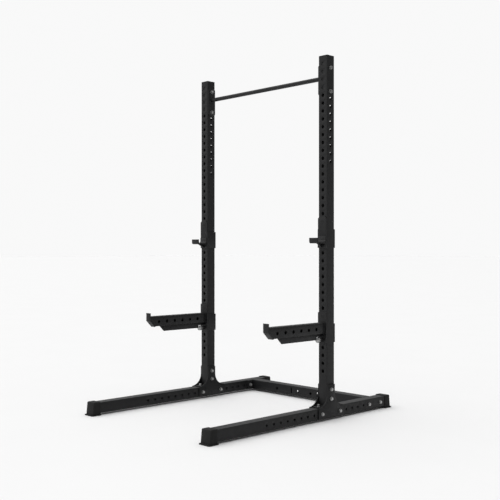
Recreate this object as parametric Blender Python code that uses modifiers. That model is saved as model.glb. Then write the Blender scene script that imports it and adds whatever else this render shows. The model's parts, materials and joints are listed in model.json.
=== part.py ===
"""Half rack with a pull-up bar, two J-cups and two spotter arms (metres, +Z up, front is -Y).

Run with: blender --background --python part.py
Every separate piece of the rack is one object.  The J-cups and the spotter arms twist about
the pins that hang them in the uprights' front holes, and each arm carries a lock pin.
"""
import math

import bmesh
import bpy
from mathutils import Matrix

# ---------------------------------------------------------------- driving dimensions
TUBE = 0.070                 # outside width of every square tube
WALL = 0.003                 # its wall
TUBE_RADIUS = 0.0036         # its outer corner radius
SPACING = 1.143              # distance between the two uprights' centre lines
TOP = 2.309                  # height of the uprights' open ends
LEG_BOTTOM = 0.013           # the shoes hold the legs this far off the floor
LEG_FRONT = -1.008           # front end of the leg tubes
LEG_REAR = 0.606             # rear end of the leg tubes
PLATE = 0.006                # thickness of every steel plate
GAP = 0.0003                 # play left between pieces that touch

PITCH = 0.050                # hole spacing up the uprights
FRONT_HOLES = 40             # holes through the front and rear walls
SIDE_HOLES = 9               # holes through the side walls, near the top only
SIDE_DROP = 0.021            # each sits this far below a front hole
FIRST_SIDE_HOLE = 5          # front hole, counted from the top, that the first one follows
BACKED_HOLES = 4             # a plate inside the tube closes the uppermost front holes
FRONT_HOLE_RADIUS = 0.0112
SIDE_HOLE_RADIUS = 0.0105
LEG_HOLE_PITCH = 0.060
LEG_HOLE_START = 0.155       # nearest leg hole before and behind the upright
LEG_HOLES_FRONT = 8
LEG_HOLES_REAR = 4
LEG_HOLE_RADIUS = 0.0075

BAR_DROP = 0.136             # pull-up bar's axis below the top of the uprights
BAR_RADIUS = 0.014
BAR_PLATE_HEIGHT = 0.204
BAR_BOLT_DROPS = (1.5 * PITCH, 4.5 * PITCH)
END_PLATE_WIDTH = 0.066
CHAMFER = 0.014

GUSSET_TOP = 0.144           # gusset plate's height above the leg's top face
GUSSET_FLARE = 0.085         # radius of its two hollow flanks
GUSSET_HALF_TOP = 0.0345
GUSSET_LEG_BOLT = 0.086      # its leg bolts stand this far before and behind the upright
GUSSET_BOLT_HEIGHTS = (0.052, 0.111)

CROSS_Y = 0.455              # rear crossmember's axis
CROSS_BOLT = 0.060           # its flange bolts, before and behind the axis
CROSS_FLANGE = 0.176
CROSS_ROUND_HOLES = (0.062, 0.2725)
CROSS_SLOT = 0.127
CROSS_SLOT_SIZE = (0.012, 0.040)

BOLT_RADIUS = 0.006          # M12
BOLT_HOLE_RADIUS = 0.0076    # corner radius of the six-sided clearance hole
HEX_RADIUS = 0.011           # across the corners of heads and nuts
HEAD_HEIGHT = 0.008
NUT_HEIGHT = 0.010
FOOT_TAB = 0.066             # tab welded to the upright's foot, on the leg's top face
FOOT_SCREW_Y = -0.075

JCUP_HOLE = 20               # front hole, counted from the top, that takes the J-cup's pin
ARM_HOLE = 32                # and the spotter arm's pin
BRACKET_BOTTOM = -0.168      # heights in a bracket are measured from its pin
WRAP_TOP = -0.050
JCUP_PLATE_TOP = 0.0325
ARM_PLATE_TOP = 0.024
ARM_PLATE_CUT = 0.003        # its upper corners are nearly square
BRACKET_PLAY = 0.001         # between a bracket and the upright
PIN_RADIUS = 0.0088
PIN_REACH = 0.028

HOOK_WIDTH = 0.068
HOOK_REACH = -0.092          # outer face of the J-cup's lip
HOOK_TOP = -0.105
HOOK_BOTTOM = -0.140
HOOK_LINER = 0.005

BEAM_WIDTH = 0.045
BEAM_TOP = -0.047
BEAM_BOTTOM = -0.111
BEAM_END = -0.5078
TIP_TOP = -0.0178
TIP_CUT = 0.0413             # 45 degree cut under the beam's tip
FIN = 0.010                  # thickness of the stiffening fin under the beam
FIN_BOTTOM = -0.1492
FIN_FRONT = -0.416
FIN_REAR = -0.062
FIN_STEP = -0.130            # behind this, the fin ends above the lock pin's knob
ARM_LINER = 0.0057
ARM_HOLE_RADIUS = 0.011
ARM_HOLE_PITCH = 0.070
ARM_FIRST_HOLE = -0.086
ARM_HOLES = 6

LOCK_DROP = 3 * PITCH        # the lock pin works three holes below the arm's pin
LOCK_RADIUS = 0.008
BOSS_RADIUS = 0.014
BOSS_LENGTH = 0.014
KNOB_RADIUS = 0.017
KNOB_LENGTH = 0.020
KNOB_FRONT = -0.055

# ---------------------------------------------------------------- derived values
HALF = TUBE / 2
LEG_TOP = LEG_BOTTOM + TUBE
LEG_AXIS = LEG_BOTTOM + HALF
UPRIGHT_X = SPACING / 2
PLATE_PLAY = BRACKET_PLAY + PLATE
MIDDLE_Y = -(LEG_FRONT + LEG_REAR) / 2
SIDES = {"left": -1, "right": 1}
UPRIGHT_FOOT = LEG_TOP + GAP
FOOT_SEAT = UPRIGHT_FOOT + GAP + PLATE


# ---------------------------------------------------------------- scene and materials
def clear_scene():
    """Remove every object of the open file."""
    for old in list(bpy.data.objects):
        bpy.data.objects.remove(old, do_unlink=True)


def new_collection(name):
    """Make a collection under the scene's own."""
    collection = bpy.data.collections.new(name)
    bpy.context.scene.collection.children.link(collection)
    return collection


def material(name, colour, roughness, metallic):
    """Principled material of one colour."""
    result = bpy.data.materials.new(name)
    result.use_nodes = True
    shader = result.node_tree.nodes["Principled BSDF"]
    shader.inputs["Base Color"].default_value = (*colour, 1.0)
    shader.inputs["Roughness"].default_value = roughness
    shader.inputs["Metallic"].default_value = metallic
    result.diffuse_color = (*colour, 1.0)
    return result


clear_scene()
RACK = new_collection("power_cage")
TOOLS = new_collection("cutting_tools")
BASE = bpy.data.objects.new("rack_base", None)
BASE.location = (0, MIDDLE_Y, 0)
RACK.objects.link(BASE)
BLACK_STEEL = material("black_powder_coat", (0.022, 0.022, 0.024), 0.48, 0.35)
ZINC = material("zinc_plate", (0.42, 0.43, 0.44), 0.32, 1.0)
RUBBER = material("black_rubber", (0.018, 0.018, 0.018), 0.80, 0.0)
CAP_PLASTIC = material("black_cap_plastic", (0.020, 0.020, 0.021), 0.55, 0.0)
LINER_PLASTIC = material("dark_liner_plastic", (0.012, 0.012, 0.013), 0.62, 0.0)


# ---------------------------------------------------------------- modelling helpers
def add_object(name, data, surface, location=(0, 0, 0), parent=BASE):
    """Link one piece of the rack into its collection."""
    piece = bpy.data.objects.new(name, data)
    piece.location = location
    piece.parent = parent
    data.materials.clear()
    data.materials.append(surface)
    RACK.objects.link(piece)
    return piece


def add_tool(name, data, location=(0, 0, 0), parent=BASE):
    """Link a body that only cuts or joins others, hidden from the picture."""
    tool = bpy.data.objects.new(name, data)
    tool.location = location
    tool.parent = parent
    tool.hide_render = True
    tool.display_type = "WIRE"
    TOOLS.objects.link(tool)
    return tool


def combine(piece, tool, operation):
    """Cut a tool out of a piece, or join it on."""
    boolean = piece.modifiers.new(tool.name, "BOOLEAN")
    boolean.operation = operation
    boolean.solver = "EXACT"
    boolean.object = tool


def drill(piece, cutters):
    """Cut several separate tools out of a piece in one step."""
    group = bpy.data.collections.new(piece.name + "_cutters")
    for cutter in cutters:
        group.objects.link(cutter)
    boolean = piece.modifiers.new("holes", "BOOLEAN")
    boolean.operation = "DIFFERENCE"
    boolean.solver = "EXACT"
    boolean.operand_type = "COLLECTION"
    boolean.collection = group


def repeat(tool, count, step):
    """Repeat a tool in a straight row."""
    array = tool.modifiers.new("row", "ARRAY")
    array.count = count
    array.use_relative_offset = False
    array.use_constant_offset = True
    array.constant_offset_displace = step


def block(name, size, centre=(0, 0, 0), radius=0.0, axis=2, segments=2):
    """Box mesh, with the edges that run along one axis rounded."""
    mesh = bpy.data.meshes.new(name)
    shape = bmesh.new()
    bmesh.ops.create_cube(shape, size=1.0)
    bmesh.ops.scale(shape, vec=size, verts=shape.verts)
    if radius > 0:
        along = [e for e in shape.edges if abs((e.verts[0].co - e.verts[1].co)[axis]) > 1e-6]
        bmesh.ops.bevel(shape, geom=along, offset=radius, segments=segments, profile=0.5,
                        affect="EDGES")
    bmesh.ops.translate(shape, vec=centre, verts=shape.verts)
    shape.to_mesh(mesh)
    shape.free()
    return mesh


def rod(name, radius, length, centre=(0, 0, 0), axis="Z", sides=12):
    """Cylinder mesh along one axis."""
    mesh = bpy.data.meshes.new(name)
    shape = bmesh.new()
    bmesh.ops.create_cone(shape, cap_ends=True, cap_tris=False, segments=sides,
                          radius1=radius, radius2=radius, depth=length)
    turn = {"X": (math.pi / 2, "Y"), "Y": (math.pi / 2, "X"), "Z": (0.0, "Z")}[axis]
    bmesh.ops.rotate(shape, cent=(0, 0, 0), verts=shape.verts, matrix=Matrix.Rotation(turn[0], 3, turn[1]))
    bmesh.ops.translate(shape, vec=centre, verts=shape.verts)
    shape.to_mesh(mesh)
    shape.free()
    return mesh


def outline_curve(name, outlines, thickness):
    """Flat filled curve of one outline and its holes."""
    curve = bpy.data.curves.new(name, "CURVE")
    curve.dimensions = "2D"
    curve.fill_mode = "BOTH"
    curve.extrude = thickness / 2
    for outline in outlines:
        spline = curve.splines.new("POLY")
        spline.points.add(len(outline) - 1)
        for point, (u, v) in zip(spline.points, outline):
            point.co = (u, v, 0, 1)
        spline.use_cyclic_u = True
    return curve


def sheet(name, outline, thickness, plane, offset):
    """Mesh of an outline drawn in the XY, XZ or YZ plane, with its middle at the offset."""
    mesh = bpy.data.meshes.new(name)
    shape = bmesh.new()
    places = {"XY": lambda u, v: (u, v, 0), "XZ": lambda u, v: (u, 0, v),
              "YZ": lambda u, v: (0, u, v)}[plane]
    direction = {"XY": (0, 0, 1), "XZ": (0, 1, 0), "YZ": (1, 0, 0)}[plane]
    start = [place * (offset - thickness / 2) for place in direction]
    corners = [shape.verts.new(places(u, v)) for u, v in outline]
    bmesh.ops.translate(shape, vec=start, verts=shape.verts)
    face = shape.faces.new(corners)
    grown = bmesh.ops.extrude_face_region(shape, geom=[face])
    moved = [item for item in grown["geom"] if isinstance(item, bmesh.types.BMVert)]
    bmesh.ops.translate(shape, vec=[place * thickness for place in direction], verts=moved)
    bmesh.ops.recalc_face_normals(shape, faces=shape.faces)
    shape.to_mesh(mesh)
    shape.free()
    return mesh


def turned(name, profile, steps):
    """Profile of (radius, height) points turned about Z with a Screw modifier."""
    mesh = bpy.data.meshes.new(name)
    points = [(radius, 0, height) for radius, height in profile]
    closed = profile[0][0] > 0
    edges = [(i, i + 1) for i in range(len(points) - 1)]
    if closed:
        edges.append((len(points) - 1, 0))
    mesh.from_pydata(points, edges, [])
    return mesh, steps


def add_turned(name, lathe, surface, location, turn):
    """Place a turned piece with its axis along X or Y."""
    mesh, steps = lathe
    piece = add_object(name, mesh, surface, location)
    piece.rotation_euler = turn
    screw = piece.modifiers.new("turn", "SCREW")
    screw.steps = steps
    screw.render_steps = steps
    screw.use_merge_vertices = True
    screw.merge_threshold = 0.00005
    return piece


def arc(centre, radius, start, end, steps):
    """Points of an arc, angles in degrees."""
    angles = [math.radians(start + (end - start) * i / steps) for i in range(steps + 1)]
    return [(centre[0] + radius * math.cos(a), centre[1] + radius * math.sin(a)) for a in angles]


def chamfered(half_width, bottom, top, cut, both_ends=True):
    """Rectangle outline with its upper (or all four) corners cut off."""
    low = cut if both_ends else 0.0
    points = [(-half_width, bottom + low), (-half_width, top - cut), (-half_width + cut, top),
              (half_width - cut, top), (half_width, top - cut), (half_width, bottom + low)]
    if both_ends:
        points += [(half_width - cut, bottom), (-half_width + cut, bottom)]
    return points


# ---------------------------------------------------------------- square tubes
def square_tube(name, length, centre, axis, surface=BLACK_STEEL):
    """Square tube with rounded corners, open at both ends."""
    size = [TUBE] * 3
    size[axis] = length
    hollow = [TUBE - 2 * WALL] * 3
    hollow[axis] = length + 0.02
    piece = add_object(name, block(name, size, centre, TUBE_RADIUS, axis), surface)
    inside = add_tool(name + "_bore", block(name + "_bore", hollow, centre,
                                            TUBE_RADIUS - WALL, axis, 1))
    combine(piece, inside, "DIFFERENCE")
    return piece


def bolt_hole(owner, label, centre, axis, reach=TUBE + 0.04):
    """Cutter for a six-sided clearance hole for an M12 bolt."""
    name = "%s_bolt_hole_%s" % (owner, label)
    return add_tool(name, rod(name, BOLT_HOLE_RADIUS, reach, centre, axis, 6))


def upright(side, sign):
    """Upright tube with its foot tab and its rows of holes."""
    name = "upright_" + side
    x = sign * UPRIGHT_X
    middle = (TOP + UPRIGHT_FOOT) / 2
    piece = square_tube(name, TOP - UPRIGHT_FOOT, (x, 0, middle), 2)
    half = HALF - 0.005
    front = -HALF - FOOT_TAB
    outline = [(x - half, WALL / 2 - HALF), (x - half, front + 0.010), (x - half + 0.010, front),
               (x + half - 0.010, front), (x + half, front + 0.010), (x + half, WALL / 2 - HALF)]
    tab = add_tool(name + "_tab", sheet(name + "_tab", outline, PLATE, "XY",
                                        FOOT_SEAT - PLATE / 2))
    combine(piece, tab, "UNION")
    through = TUBE + 0.02
    front_row = add_tool(name + "_front_row", rod(name + "_front_row", FRONT_HOLE_RADIUS, through,
                                                  (x, 0, TOP - PITCH), "Y", 6))
    repeat(front_row, FRONT_HOLES, (0, 0, -PITCH))
    first = TOP - FIRST_SIDE_HOLE * PITCH - SIDE_DROP
    side_row = add_tool(name + "_side_row", rod(name + "_side_row", SIDE_HOLE_RADIUS, through,
                                                (x, 0, first), "X", 6))
    repeat(side_row, SIDE_HOLES, (0, 0, -PITCH))
    heights = [TOP - drop for drop in BAR_BOLT_DROPS]
    heights += [LEG_TOP + height for height in GUSSET_BOLT_HEIGHTS]
    cutters = [front_row, side_row, bolt_hole(name, "screw", (x, FOOT_SCREW_Y, LEG_TOP), "Z", 0.03)]
    cutters += [bolt_hole(name, str(number), (x, 0, height), "X")
                for number, height in enumerate(heights)]
    drill(piece, cutters)
    size = (TUBE - 0.020, WALL + 0.0005, BACKED_HOLES * PITCH)
    place = (x, -HALF + 1.5 * WALL - 0.00025, TOP - (BACKED_HOLES + 1) * PITCH / 2)
    backing = add_tool(name + "_backing", block(name + "_backing", size, place))
    combine(piece, backing, "UNION")


def base_leg(side, sign):
    """Leg tube that runs from front to rear under an upright."""
    name = "base_leg_" + side
    x = sign * UPRIGHT_X
    length = LEG_REAR - LEG_FRONT
    piece = square_tube(name, length, (x, (LEG_REAR + LEG_FRONT) / 2, LEG_AXIS), 1)
    rows = {"front": (-1, LEG_HOLES_FRONT), "rear": (1, LEG_HOLES_REAR)}
    cutters = [bolt_hole(name, "screw", (x, FOOT_SCREW_Y, LEG_TOP), "Z", 0.03)]
    for end, (way, count) in rows.items():
        label = name + "_" + end + "_row"
        row = add_tool(label, rod(label, LEG_HOLE_RADIUS, TUBE + 0.02,
                                  (x, way * LEG_HOLE_START, LEG_AXIS), "X", 6))
        repeat(row, count, (0, way * LEG_HOLE_PITCH, 0))
        cutters.append(row)
    places = (-GUSSET_LEG_BOLT, GUSSET_LEG_BOLT, CROSS_Y - CROSS_BOLT, CROSS_Y + CROSS_BOLT)
    cutters += [bolt_hole(name, str(number), (x, y, LEG_AXIS), "X")
                for number, y in enumerate(places)]
    drill(piece, cutters)


# ---------------------------------------------------------------- shoes and caps
def shoe(side, sign, end, way):
    """Rubber shoe over one end of a leg, with a flange on the floor."""
    name = "foot_shoe_%s_%s" % (end, side)
    x = sign * UPRIGHT_X
    tube_end = LEG_FRONT if way < 0 else LEG_REAR
    sleeve = 0.045
    skin = 0.004
    nose = 0.008
    half = HALF + GAP + skin
    front = tube_end + way * nose
    outline = [(tube_end - way * sleeve, 0.0), (tube_end - way * sleeve, LEG_TOP + skin),
               (front - way * 0.004, LEG_TOP + skin), (front, LEG_TOP - 0.002),
               (front + way * 0.008, 0.0)]
    piece = add_object(name, sheet(name, outline, 2 * half, "YZ", x), RUBBER)
    lip_length = sleeve + nose + 0.022
    lip_centre = tube_end + way * (nose + 0.018 - lip_length / 2)
    lip = add_tool(name + "_flange", block(name + "_flange", (2 * half + 0.014, lip_length, 0.007),
                                           (x, lip_centre, 0.0035), 0.010, 2, 2))
    combine(piece, lip, "UNION")
    room = TUBE + 2 * GAP
    pocket = add_tool(name + "_pocket", block(
        name + "_pocket", (room, 0.12, room),
        (x, tube_end + way * (GAP - 0.06), LEG_AXIS), 0.0025, 1, 1))
    combine(piece, pocket, "DIFFERENCE")


def top_cap(side, sign):
    """Plastic cap that closes an upright's top."""
    name = "top_cap_" + side
    x = sign * UPRIGHT_X
    lid = 0.003
    plug = 0.014
    room = TUBE - 2 * WALL - 2 * GAP
    piece = add_object(name, block(name, (TUBE, TUBE, lid), (x, 0, TOP + GAP + lid / 2),
                                   TUBE_RADIUS, 2), CAP_PLASTIC)
    stem = add_tool(name + "_plug", block(name + "_plug", (room, room, plug),
                                          (x, 0, TOP + GAP - plug / 2 + 0.001), TUBE_RADIUS, 2, 1))
    combine(piece, stem, "UNION")


# ---------------------------------------------------------------- bolted plates
def ring(centre, radius, sides=6):
    """Outline of a round hole."""
    return arc(centre, radius, 0, 360 * (sides - 1) / sides, sides - 1)


def gusset(side, sign, face, way):
    """Bell-shaped plate that joins an upright to its leg."""
    name = "gusset_%s_%s" % (face, side)
    bottom = LEG_BOTTOM + 0.004
    shoulder = LEG_TOP + 0.004 + GUSSET_FLARE
    foot = GUSSET_HALF_TOP + GUSSET_FLARE
    rear = arc((foot, shoulder), GUSSET_FLARE, 180, 270, 6)
    front = [(-y, z) for y, z in reversed(rear)]
    top = LEG_TOP + GUSSET_TOP
    outline = [(-foot, bottom)] + front + [(-GUSSET_HALF_TOP, top), (GUSSET_HALF_TOP, top)]
    outline += rear + [(foot, bottom)]
    holes = [(0, LEG_TOP + height) for height in GUSSET_BOLT_HEIGHTS]
    holes += [(-GUSSET_LEG_BOLT, LEG_AXIS), (GUSSET_LEG_BOLT, LEG_AXIS)]
    outlines = [outline] + [ring(hole, BOLT_HOLE_RADIUS) for hole in holes]
    x = sign * UPRIGHT_X + way * (HALF + GAP + PLATE / 2)
    piece = add_object(name, outline_curve(name, outlines, PLATE), BLACK_STEEL, (x, 0, 0))
    piece.rotation_euler = (math.pi / 2, 0, math.pi / 2)


def end_plates(piece, name, outline, inner):
    """Join a plate of the given outline to each end of a cross piece."""
    for side, sign in SIDES.items():
        label = "%s_plate_%s" % (name, side)
        plate = add_tool(label, sheet(label, outline, PLATE, "YZ", sign * (inner - PLATE / 2)))
        combine(piece, plate, "UNION")


def pull_up_bar():
    """Round bar with an end plate welded to each end."""
    name = "pull_up_bar"
    inner = UPRIGHT_X - HALF - GAP
    height = TOP - BAR_DROP
    piece = add_object(name, rod(name, BAR_RADIUS, 2 * (inner - PLATE / 2), (0, 0, height),
                                 "X", 16), BLACK_STEEL)
    middle = TOP - sum(BAR_BOLT_DROPS) / 2
    outline = chamfered(END_PLATE_WIDTH / 2, middle - BAR_PLATE_HEIGHT / 2,
                        middle + BAR_PLATE_HEIGHT / 2, CHAMFER)
    end_plates(piece, name, outline, inner)
    drill(piece, [bolt_hole(name, "%s_%d" % (side, number), (sign * inner, 0, TOP - drop), "X", 0.04)
                  for side, sign in SIDES.items()
                  for number, drop in enumerate(BAR_BOLT_DROPS)])


def crossmember():
    """Rear cross tube with a bolted flange at each end."""
    name = "rear_crossmember"
    inner = UPRIGHT_X - HALF - GAP
    piece = square_tube(name, 2 * (inner - PLATE / 2), (0, CROSS_Y, LEG_AXIS), 0)
    outline = [(CROSS_Y - CROSS_FLANGE / 2, LEG_BOTTOM + 0.002),
               (CROSS_Y - CROSS_FLANGE / 2, LEG_TOP - 0.002),
               (CROSS_Y + CROSS_FLANGE / 2, LEG_TOP - 0.002),
               (CROSS_Y + CROSS_FLANGE / 2, LEG_BOTTOM + 0.002)]
    end_plates(piece, name, outline, inner)
    through = TUBE + 0.02
    cutters = []
    for side, sign in SIDES.items():
        for number, x in enumerate(CROSS_ROUND_HOLES):
            label = "%s_hole_%s_%d" % (name, side, number)
            cutters.append(add_tool(label, rod(label, FRONT_HOLE_RADIUS, through,
                                               (sign * x, CROSS_Y, LEG_AXIS), "Y", 8)))
        label = "%s_slot_%s" % (name, side)
        size = (CROSS_SLOT_SIZE[0], through, CROSS_SLOT_SIZE[1])
        cutters.append(add_tool(label, block(label, size, (sign * CROSS_SLOT, CROSS_Y, LEG_AXIS),
                                             0.005, 1, 1)))
        for number, way in enumerate((-1, 1)):
            cutters.append(bolt_hole(name, "%s_%d" % (side, number),
                                     (sign * inner, CROSS_Y + way * CROSS_BOLT, LEG_AXIS),
                                     "X", 0.04))
    drill(piece, cutters)


# ---------------------------------------------------------------- fasteners
def fastener_pair(label, side, sign, y, z, outer, inner):
    """Bolt with its head on the rack's outer side, and its nut on the inner side."""
    grip = outer + TUBE + inner + 4 * GAP
    length = grip + NUT_HEIGHT + 0.003
    bolt = [(0.0, HEAD_HEIGHT), (HEX_RADIUS, HEAD_HEIGHT), (HEX_RADIUS, 0.0),
            (BOLT_RADIUS, 0.0), (BOLT_RADIUS, -length), (0.0, -length)]
    nut = [(BOLT_RADIUS + GAP, 0.0), (HEX_RADIUS, 0.0), (HEX_RADIUS, -NUT_HEIGHT),
           (BOLT_RADIUS + GAP, -NUT_HEIGHT)]
    head_x = sign * (UPRIGHT_X + HALF + outer + 2 * GAP)
    nut_x = head_x - sign * (grip + GAP)
    turn = (0, sign * math.pi / 2, 0)
    name = "%s_bolt_%s" % (label, side)
    add_turned(name, turned(name, bolt, 6), ZINC, (head_x, y, z), turn)
    name = "%s_nut_%s" % (label, side)
    add_turned(name, turned(name, nut, 6), ZINC, (nut_x, y, z), turn)


def foot_screw(side, sign):
    """Cap screw that holds the upright's foot tab to the leg's top wall."""
    name = "foot_screw_" + side
    profile = [(0.0, 0.0145), (0.009, 0.0145), (0.009, 0.0025), (0.012, 0.0025), (0.012, 0.0),
               (BOLT_RADIUS, 0.0), (BOLT_RADIUS, -0.022), (0.0, -0.022)]
    add_turned(name, turned(name, profile, 12), ZINC, (sign * UPRIGHT_X, FOOT_SCREW_Y, FOOT_SEAT + GAP),
               (0, 0, 0))


def fasteners(side, sign):
    """Every bolt and nut on one side of the rack."""
    for word, drop in zip(("upper", "lower"), BAR_BOLT_DROPS):
        fastener_pair("bar_" + word, side, sign, 0, TOP - drop, 0.0, PLATE)
    for word, height in zip(("lower", "upper"), GUSSET_BOLT_HEIGHTS):
        fastener_pair("gusset_" + word, side, sign, 0, LEG_TOP + height, PLATE, PLATE)
    for word, way in (("front", -1), ("rear", 1)):
        fastener_pair("gusset_" + word, side, sign, way * GUSSET_LEG_BOLT, LEG_AXIS,
                      PLATE, PLATE)
        fastener_pair("crossmember_" + word, side, sign, CROSS_Y + way * CROSS_BOLT, LEG_AXIS,
                      0.0, PLATE)
    foot_screw(side, sign)


# ---------------------------------------------------------------- hanging brackets
def pivot(name, side, sign, hole):
    """Empty on the axis of the pin that hangs in an upright's front hole."""
    empty = bpy.data.objects.new("%s_pivot_%s" % (name, side), None)
    empty.location = (sign * UPRIGHT_X, -HALF, TOP - (hole + 1) * PITCH)
    empty.parent = BASE
    RACK.objects.link(empty)
    return empty


def bracket(name, sign, top, cut, surface, parent):
    """Plate, pin and wrap that hang on an upright, open on the rack's outer side."""
    outline = chamfered(HALF, BRACKET_BOTTOM, top, cut, both_ends=False)
    piece = add_object(name, sheet(name, outline, PLATE, "XZ", -BRACKET_PLAY - PLATE / 2),
                       surface, parent=parent)
    inner = -sign * (HALF + BRACKET_PLAY)
    outside = -sign * (HALF + PLATE_PLAY)
    back = TUBE + BRACKET_PLAY
    wrap = [(sign * (HALF - 0.010), -PLATE_PLAY), (outside, -PLATE_PLAY),
            (outside, back + PLATE), (sign * HALF, back + PLATE), (sign * HALF, back),
            (inner, back), (inner, -BRACKET_PLAY), (sign * (HALF - 0.010), -BRACKET_PLAY)]
    height = WRAP_TOP - BRACKET_BOTTOM
    collar = add_tool(name + "_wrap", sheet(name + "_wrap", wrap, height, "XY",
                                            BRACKET_BOTTOM + height / 2), parent=parent)
    combine(piece, collar, "UNION")
    reach = PIN_REACH + PLATE_PLAY - 0.002
    pin = add_tool(name + "_pin", rod(name + "_pin", PIN_RADIUS, reach,
                                      (0, PIN_REACH - reach / 2, 0), "Y", 12), parent=parent)
    combine(piece, pin, "UNION")
    return piece


def j_cup(side, sign):
    """J-cup: bracket with a hook for the barbell, and the hook's plastic liner."""
    empty = pivot("j_cup", side, sign, JCUP_HOLE)
    name = "j_cup_" + side
    piece = bracket(name, sign, JCUP_PLATE_TOP, CHAMFER, BLACK_STEEL, empty)
    root = -PLATE_PLAY + 0.003
    bend = 0.012
    corner = (HOOK_REACH + bend, HOOK_BOTTOM + bend)
    outline = [(HOOK_REACH, HOOK_TOP)] + arc(corner, bend, 180, 270, 4)
    outline += [(root, HOOK_BOTTOM), (root, HOOK_BOTTOM + PLATE)]
    outline += reversed(arc(corner, bend - PLATE, 180, 270, 3))
    outline += [(HOOK_REACH + PLATE, HOOK_TOP)]
    hook = add_tool(name + "_hook", sheet(name + "_hook", outline, HOOK_WIDTH, "YZ", 0.0),
                    parent=empty)
    combine(piece, hook, "UNION")
    rib_outline = [(-0.062, HOOK_BOTTOM + 0.003), (root, HOOK_BOTTOM + 0.003),
                   (root, BRACKET_BOTTOM + 0.003), (-PLATE_PLAY - 0.001, BRACKET_BOTTOM + 0.003)]
    rib = add_tool(name + "_rib", sheet(name + "_rib", rib_outline, 0.008, "YZ", 0.0),
                   parent=empty)
    combine(piece, rib, "UNION")

    front = HOOK_REACH + PLATE + GAP
    back = -PLATE_PLAY - GAP
    floor = HOOK_BOTTOM + PLATE + GAP
    turn = bend - PLATE
    liner = arc((front + turn, floor + turn), turn, 180, 270, 3)
    liner = [(front, HOOK_TOP)] + liner + [(back, floor), (back, HOOK_TOP + 0.012),
                                           (back - HOOK_LINER, HOOK_TOP + 0.012)]
    liner += arc((back - HOOK_LINER - 0.012, floor + HOOK_LINER + 0.012), 0.012, 0, -90, 3)
    liner += arc((front + HOOK_LINER + 0.008, floor + HOOK_LINER + 0.008), 0.008, 270, 180, 3)
    liner += [(front + HOOK_LINER, HOOK_TOP)]
    label = "j_cup_liner_" + side
    add_object(label, sheet(label, liner, HOOK_WIDTH - 0.002, "YZ", 0.0), LINER_PLASTIC,
               parent=empty)


def arm_outline():
    """Side view of the spotter arm's beam and tip plate."""
    slope = PLATE * math.tan(math.radians(22.5))
    skew = PLATE * math.sqrt(0.5)
    cut_y = BEAM_END + TIP_CUT
    cut_z = BEAM_BOTTOM + TIP_CUT
    root = -PLATE_PLAY + 0.003
    return [(root, BEAM_TOP), (BEAM_END, BEAM_TOP), (BEAM_END, TIP_TOP),
            (BEAM_END - PLATE, TIP_TOP), (BEAM_END - PLATE, cut_z - slope),
            (cut_y - skew, BEAM_BOTTOM - skew), (cut_y, BEAM_BOTTOM), (root, BEAM_BOTTOM)]


def fin_outline():
    """Side view of the stiffening fin; its upper edge lies inside the beam's bottom wall."""
    bite = 0.001
    drop = BEAM_BOTTOM - FIN_BOTTOM
    root = -PLATE_PLAY + bite
    return [(FIN_FRONT - bite, BEAM_BOTTOM + bite), (FIN_FRONT + drop, FIN_BOTTOM),
            (FIN_REAR, FIN_BOTTOM), (FIN_REAR, FIN_STEP), (root, FIN_STEP),
            (root, BEAM_BOTTOM + bite)]


def spotter_arm(side, sign):
    """Spotter arm: bracket, beam, tip plate and fin in one weldment, liner and lock pin."""
    empty = pivot("spotter_arm", side, sign, ARM_HOLE)
    name = "spotter_arm_" + side
    piece = bracket(name, sign, ARM_PLATE_TOP, ARM_PLATE_CUT, BLACK_STEEL, empty)
    beam = add_tool(name + "_beam", sheet(name + "_beam", arm_outline(), BEAM_WIDTH, "YZ", 0.0),
                    parent=empty)
    combine(piece, beam, "UNION")
    fin = add_tool(name + "_fin", sheet(name + "_fin", fin_outline(), FIN, "YZ", 0.0),
                   parent=empty)
    combine(piece, fin, "UNION")
    boss_end = -PLATE_PLAY - BOSS_LENGTH
    boss = add_tool(name + "_boss", rod(name + "_boss", BOSS_RADIUS, BOSS_LENGTH + 0.003,
                                        (0, boss_end + (BOSS_LENGTH + 0.003) / 2, -LOCK_DROP),
                                        "Y", 12), parent=empty)
    combine(piece, boss, "UNION")
    inside = BEAM_WIDTH - 2 * WALL
    hollow_length = -BEAM_END - TIP_CUT - PLATE_PLAY - 0.012
    hollow = add_tool(name + "_bore", block(
        name + "_bore", (inside, hollow_length, BEAM_TOP - BEAM_BOTTOM - 2 * WALL),
        (0, -PLATE_PLAY - 0.004 - hollow_length / 2, (BEAM_TOP + BEAM_BOTTOM) / 2)), parent=empty)
    combine(piece, hollow, "DIFFERENCE")
    row = add_tool(name + "_row", rod(name + "_row", ARM_HOLE_RADIUS, BEAM_WIDTH + 0.02,
                                      (0, ARM_FIRST_HOLE, (BEAM_TOP + BEAM_BOTTOM) / 2),
                                      "X", 8), parent=empty)
    repeat(row, ARM_HOLES, (0, -ARM_HOLE_PITCH, 0))
    combine(piece, row, "DIFFERENCE")
    guide = add_tool(name + "_guide", rod(name + "_guide", LOCK_RADIUS + 2 * GAP, 0.05,
                                          (0, boss_end + 0.02, -LOCK_DROP), "Y", 12),
                     parent=empty)
    combine(piece, guide, "DIFFERENCE")

    label = "arm_liner_" + side
    liner_front = BEAM_END + GAP
    liner_back = -PLATE_PLAY - GAP
    add_object(label, block(label, (BEAM_WIDTH, liner_back - liner_front, ARM_LINER),
                            (0, (liner_back + liner_front) / 2, BEAM_TOP + GAP + ARM_LINER / 2),
                            0.002, 1, 1), LINER_PLASTIC, parent=empty)
    lock_pin(side, empty)


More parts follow.
